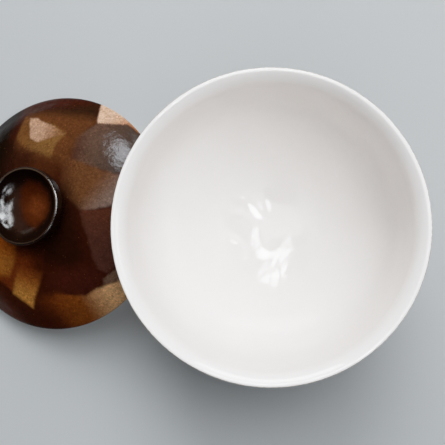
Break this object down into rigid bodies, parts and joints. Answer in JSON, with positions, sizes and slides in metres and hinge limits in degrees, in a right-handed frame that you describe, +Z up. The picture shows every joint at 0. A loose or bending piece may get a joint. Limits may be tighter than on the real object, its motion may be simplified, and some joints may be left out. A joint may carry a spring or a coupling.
{
  "type": "lidded rice bowl",
  "caption": "Deep round stoneware bowl on a foot ring, glazed white inside and brown outside, with a domed lid that has a cup-shaped knob and leans beside the bowl.",
  "frame": {"origin": "centre of the bowl's foot ring, on the plane it stands on", "axes": "+Z up along the bowl's axis; -X towards the lid, which leans against the bowl's left side"},
  "size_m": [0.2737, 0.1564, 0.079],
  "materials": {
    "bare_clay": "matt, bare fired clay, fine grit",
    "white_glaze": "gloss, smooth, very slightly warm white",
    "brown_glaze": "gloss, patches from near-black brown to tan, fine speckle",
    "dark_glaze": "high gloss, near-black brown, amber where it thins"
  },
  "bodies": {
    "bowl": {"bowl_body": "bare_clay", "bowl_foot_ring": "bare_clay", "bowl_liner_glaze": "white_glaze", "bowl_outer_glaze": "brown_glaze"},
    "lid": {"lid_dome": "bare_clay", "lid_outer_glaze": "brown_glaze", "lid_liner_glaze": "white_glaze", "lid_knob": "dark_glaze"}
  },
  "joints": [
    {"name": "lid_lift", "type": "slide", "parent": "bowl", "child": "lid", "axis": [-0.798, 0.057, 0.6], "range_m": [0, 0.12]}
  ]
}
